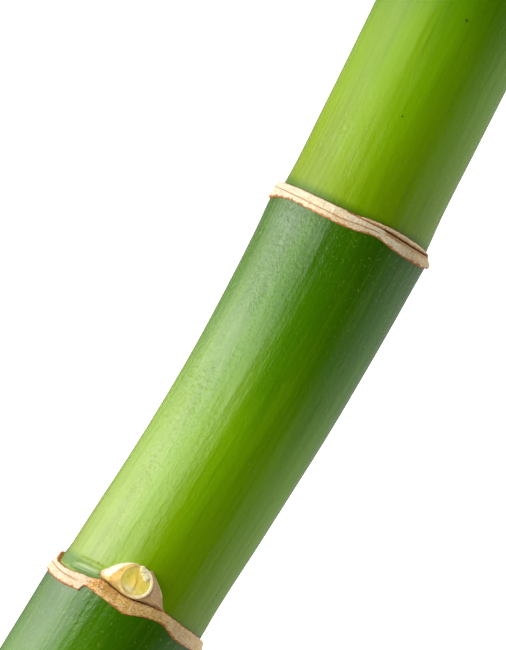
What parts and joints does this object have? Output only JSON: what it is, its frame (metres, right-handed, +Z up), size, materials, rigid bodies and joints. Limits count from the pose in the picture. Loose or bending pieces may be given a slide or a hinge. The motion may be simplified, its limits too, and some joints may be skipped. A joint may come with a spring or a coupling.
{
  "type": "bamboo cane",
  "caption": "Cut length of green bamboo culm lying on its side, with tan sheath rings at its nodes and a pointed bud scale round a cut branch stub.",
  "frame": {"origin": "middle of the underside of the object's box, on the surface that the cane rests on", "axes": "+X along the cane towards its growing end, +Z up, with the branch stub on top"},
  "size_m": [0.2222, 0.0476, 0.0446],
  "materials": {
    "culm_green": "smooth green skin with a thin waxy bloom and fine lengthwise striations",
    "sheath_tan": "dry, matte, fibrous tan with brown specks",
    "sheath_cream": "dry, matte, fibrous cream with an orange lower edge",
    "scale_tan": "dry, matte, ribbed tan scale",
    "branch_core": "waxy yellow-green cut core with a cream rim"
  },
  "bodies": {
    "root": {"culm": "culm_green", "sheath_collar_lower": "sheath_tan", "sheath_collar_upper": "sheath_cream", "bud_scale": "scale_tan", "branch_stub": "branch_core"}
  },
  "joints": []
}
